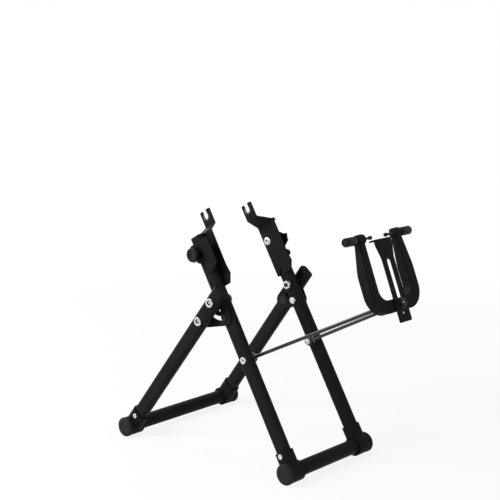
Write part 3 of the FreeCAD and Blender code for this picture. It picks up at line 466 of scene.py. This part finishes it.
for side in SIDES:
    node = f"{side}_bracket_bolt"
    # The drive socket of each domed bolt takes the painted socket shade.
    bolt = finished(spun(bracket_bolt), 1, 0.0, DRIVE_RADIUS, 73.2, 74.3)
    placed = [(bolt, beside(node, side))]
    make_piece(f"{side}_domed_bolt", placed, [zinc, socket_shade], "stand", "zinc_plate", node)
    node = f"{side}_hand_knob"
    knob = spun(hand_knob, KNOB_STEPS)
    for vert in knob.verts:
        radius = math.hypot(vert.co.x, vert.co.y)
        if radius > KNOB_VALLEY:
            wave = (1 - math.cos(KNOB_LOBES * math.atan2(vert.co.y, vert.co.x))) / 2
            share = 1 - wave * (radius - KNOB_VALLEY) / radius
            vert.co.x *= share
            vert.co.y *= share
    placed = [(knob, beside(node, side))]
    make_piece(f"{side}_lobed_knob", placed, [polished], f"{side}_clamp_knob", "black_plastic", node)


# Screws: small round heads with a socket, in the far outer plate and in the four corner connectors. They keep
# their solids and take the plate's zinc.
dress(zinc, "front_connector_screws", "rear_connector_screws", "bracket_screws")


# Swinging arm: two thin steel rods with an eye each, in a glossier black than the frame, on zinc plated
# bolts through the uprights.
gloss = finish(
    "gloss_black_steel", (0.0050, 0.0050, 0.0055), (0.0100, 0.0100, 0.0105), cloud=(40, 3),
    roughness=(0.09, 0.16), specular=0.4, skin=(800, 2), bump=(0.05, 0.0002), edge=0.0005,
)
dress(gloss, "near_arm_rod", "far_arm_rod")
ARM_HEAD = {"radius": 6.0, "height": 2.5, "socket": 2.6, "depth": 1.2}
ARM_SHANK = 3.0
ARM_NUT = 64.3
ARM_WASHER = 76.0
arm_bolt = (
    [(ARM_NUT - 1.5, 0), (ARM_NUT - 1.5, 2.5), (ARM_NUT - 1.0, ARM_SHANK), (ARM_NUT, ARM_SHANK)]
    + nut_outline(ARM_NUT, 6.0, 4.5, 0.6)
    + [(ARM_NUT + 4.5, ARM_SHANK), (ARM_WASHER, ARM_SHANK)]
    + washer_outline(ARM_WASHER, 8.0, TUBE_INSIDE - ARM_WASHER)
    + [(TUBE_INSIDE, ARM_SHANK), (TUBE_OUTSIDE, ARM_SHANK)]
    + head_outline(TUBE_OUTSIDE, **ARM_HEAD)
)
for side in SIDES:
    node = f"{side}_arm_bolt"
    bolt = shade_socket(spun(arm_bolt), TUBE_OUTSIDE, ARM_HEAD)
    make_piece(f"{side}_eye_bolt", [(bolt, beside(node, side))], [zinc, socket_shade], "stand", "zinc_plate", node)


# Feelers: blackened pins through the heads of the fork, ringed closely for their thread, with soft noses
# towards the rim. Each turns by a black knob with fine straight ribs and a ringed end.
dress(rubber, "near_feeler_tip", "far_feeler_tip")
THREAD_START = 22.5
THREAD_END = 57.0
THREAD_PITCH = 1.25
THREAD_DEPTH = 0.3
PIN_RADIUS = 2.0
thread = []
for index in range(int((THREAD_END - THREAD_START) / THREAD_PITCH)):
    foot = THREAD_START + index * THREAD_PITCH
    thread += [(foot, PIN_RADIUS - THREAD_DEPTH), (foot + THREAD_PITCH / 2, PIN_RADIUS)]
feeler_pin = [(19.3, 0), (19.3, 1.7)] + thread + [(57.5, 1.7), (68.8, 1.7), (69.0, 1.4), (69.0, 0)]
KNURL_STEPS = 72
KNURL_DEPTH = 0.4
KNURL_START = 6.9
feeler_knob = [
    (69.2, 0), (69.2, 2.15), (57.0, 2.15), (57.0, 5.6), (57.3, 6.2), (58.2, 6.6), (58.6, 7.0), (69.5, 7.0),
    (80.4, 7.0), (80.8, 6.6), (81.6, 6.2), (82.0, 5.6), (82.0, 4.6), (81.6, 4.2), (81.6, 2.2), (81.9, 1.8),
    (81.9, 0),
]
for side in SIDES:
    node = f"{side}_feeler_pin"
    body = f"{side}_feeler_screw"
    pin = [(spun(feeler_pin, PIN_STEPS), beside(node, side))]
    make_piece(f"{side}_threaded_pin", pin, [blackened], body, "blackened_steel", node)
    node = f"{side}_feeler_knob"
    knob = spun(feeler_knob, KNURL_STEPS)
    for vert in knob.verts:
        radius = math.hypot(vert.co.x, vert.co.y)
        column = round(math.atan2(vert.co.y, vert.co.x) / math.tau * KNURL_STEPS)
        if radius > KNURL_START and column % 2:
            vert.co.x *= 1 - KNURL_DEPTH / radius
            vert.co.y *= 1 - KNURL_DEPTH / radius
    make_piece(f"{side}_ribbed_knob", [(knob, beside(node, side))], [polished], body, "black_plastic", node)


# Gauge plate: blanked and folded sheet that slides in front of the fork, under a blackened socket bolt and
# washer that pinch it. The raised middle of the socket is bright zinc, a painted highlight.
dress(coat, "gauge_plate")
FORK_TILT = math.radians(22)
CLAMP_PLACE = Vector((0.2474, 0.0, 0.3050))
CLAMP_HEAD = {"radius": 6.5, "height": 4.5, "socket": 3.5, "depth": 2.0}
CLAMP_START = -9.0
CLAMP_WASHER = 8.0
CLAMP_WASHER_BORE = 4.3
CLAMP_SEAT = CLAMP_WASHER + WASHER_THICKNESS
fork_up = Vector((-math.sin(FORK_TILT), 0, math.cos(FORK_TILT)))
fork_ahead = Vector((math.cos(FORK_TILT), 0, math.sin(FORK_TILT)))
clamp_turn = Matrix((Vector((0, 1, 0)), fork_up, fork_ahead)).transposed().to_4x4()
clamp_place = Matrix.Translation(CLAMP_PLACE) @ clamp_turn @ Matrix.Scale(0.001, 4)
clamp_washer = (
    [(CLAMP_WASHER, CLAMP_WASHER_BORE)]
    + washer_outline(CLAMP_WASHER, BIG_WASHER, WASHER_THICKNESS)
    + [(CLAMP_SEAT, CLAMP_WASHER_BORE), (CLAMP_WASHER, CLAMP_WASHER_BORE)]
)
clamp_bolt = [
    (CLAMP_START, 0), (CLAMP_START, 3.4), (CLAMP_START + 0.6, 4.0), (CLAMP_SEAT, 4.0),
] + head_outline(CLAMP_SEAT, **CLAMP_HEAD)
washer = [(spun(clamp_washer), clamp_place)]
make_piece("gauge_clamp_washer", washer, [blackened], "caliper_arm", "blackened_steel", "gauge_bolt")
bolt = shade_socket(spun(clamp_bolt), CLAMP_SEAT, CLAMP_HEAD)
clamp_top = CLAMP_SEAT + CLAMP_HEAD["height"]
socket_foot = clamp_top - CLAMP_HEAD["depth"]
# The raised middle of the socket takes bright zinc as a painted highlight.
finished(bolt, 2, 0.0, CLAMP_HEAD["socket"] * MIDDLE_SHARE, socket_foot, clamp_top)
head_finishes = [blackened, socket_shade, zinc]
make_piece(
    "gauge_clamp_bolt", [(bolt, clamp_place)], head_finishes, "caliper_arm", "blackened_steel", "gauge_bolt",
)


# Plain pale floor: seen by the camera and in reflections it is nearly white, it keeps a faint shadow under
# the stand, and it fades into the white of the studio further out.
FLOOR_REACH = 6.0
FLOOR_COLOUR = (0.86, 0.86, 0.86)
FLOOR_GLOW = 0.86
FADE_START = 0.5
FADE_END = 1.6


def background_rays(tree):
    """How far a ray is one that shows the background: seen, mirrored or through glass."""
    path = add_node(tree, "ShaderNodeLightPath")
    total = path.outputs["Is Camera Ray"]
    for kind in ("Is Glossy Ray", "Is Transmission Ray"):
        total = combine(tree, "MAXIMUM", total, path.outputs[kind])
    return total


def pale_floor():
    """Dull pale material that glows for the rays that show the background, more so further out."""
    material, tree, shader = new_material("pale_floor")
    shader.inputs["Base Color"].default_value = (*FLOOR_COLOUR, 1)
    shader.inputs["Roughness"].default_value = 0.9
    shader.inputs["Specular IOR Level"].default_value = 0.0
    light = add_node(tree, "ShaderNodeEmission", Strength=1.0)
    light.inputs["Color"].default_value = (1, 1, 1, 1)
    place = add_node(tree, "ShaderNodeTexCoord")
    reach = add_node(tree, "ShaderNodeVectorMath", operation="LENGTH")
    tree.links.new(place.outputs["Object"], reach.inputs[0])
    fade = spread(tree, reach.outputs["Value"], FLOOR_GLOW, 1.0, FADE_START, FADE_END)
    mix = add_node(tree, "ShaderNodeMixShader")
    tree.links.new(combine(tree, "MULTIPLY", background_rays(tree), fade), mix.inputs["Fac"])
    tree.links.new(shader.outputs["BSDF"], mix.inputs[1])
    tree.links.new(light.outputs["Emission"], mix.inputs[2])
    tree.links.new(mix.outputs["Shader"], tree.nodes["Material Output"].inputs["Surface"])
    return material


bm = bmesh.new()
bmesh.ops.create_grid(bm, x_segments=1, y_segments=1, size=FLOOR_REACH)
floor_mesh = bpy.data.meshes.new("floor")
bm.to_mesh(floor_mesh)
bm.free()
floor_mesh.materials.append(pale_floor())
floor = bpy.data.objects.new("floor", floor_mesh)
bpy.context.scene.collection.objects.link(floor)


# Studio: white all round as the camera and reflections see it, dimmer as it lights the stand, with a large
# soft key from the camera's left, a weaker fill from the right and a rim light from behind on the left.
WORLD_LEVEL = 0.28
MIDDLE = (0.0, 0.0, 0.2)

world = bpy.data.worlds.new("studio")
bpy.context.scene.world = world
world.use_nodes = True
sky = world.node_tree
seen = add_node(sky, "ShaderNodeBackground", Strength=1.0)
lighting = add_node(sky, "ShaderNodeBackground", Strength=WORLD_LEVEL)
for level in (seen, lighting):
    level.inputs["Color"].default_value = (1, 1, 1, 1)
sky_mix = add_node(sky, "ShaderNodeMixShader")
sky.links.new(background_rays(sky), sky_mix.inputs["Fac"])
sky.links.new(lighting.outputs["Background"], sky_mix.inputs[1])
sky.links.new(seen.outputs["Background"], sky_mix.inputs[2])
sky.links.new(sky_mix.outputs["Shader"], sky.nodes["World Output"].inputs["Surface"])


def softbox(name, place, width, power):
    """Square area light turned towards the middle of the stand."""
    light = bpy.data.lights.new(name, "AREA")
    light.size = width
    light.energy = power
    box = bpy.data.objects.new(name, light)
    box.location = place
    box.rotation_euler = (Vector(MIDDLE) - Vector(place)).to_track_quat("-Z", "Y").to_euler()
    bpy.context.scene.collection.objects.link(box)


softbox("key", (-0.9, -1.9, 1.7), 1.0, 58)
softbox("fill", (2.2, 0.2, 1.2), 1.2, 8)
softbox("rim", (-2.0, -0.5, 1.2), 0.8, 22)


# Camera at the photograph's place: turned 43.7 degrees from the side, a little above the stand.
CAMERA_PLACE = (1.21661, -1.34277, 0.70036)
CAMERA_TURN = (math.radians(79.2587), 0.0, math.radians(43.7062))
CAMERA_LENS = 78.827

camera = bpy.data.cameras.new("camera")
camera.lens = CAMERA_LENS
camera.sensor_width = 36.0
camera_object = bpy.data.objects.new("camera", camera)
camera_object.location = CAMERA_PLACE
camera_object.rotation_euler = CAMERA_TURN
bpy.context.scene.collection.objects.link(camera_object)
bpy.context.scene.camera = camera_object
bpy.context.scene.view_settings.view_transform = "Standard"
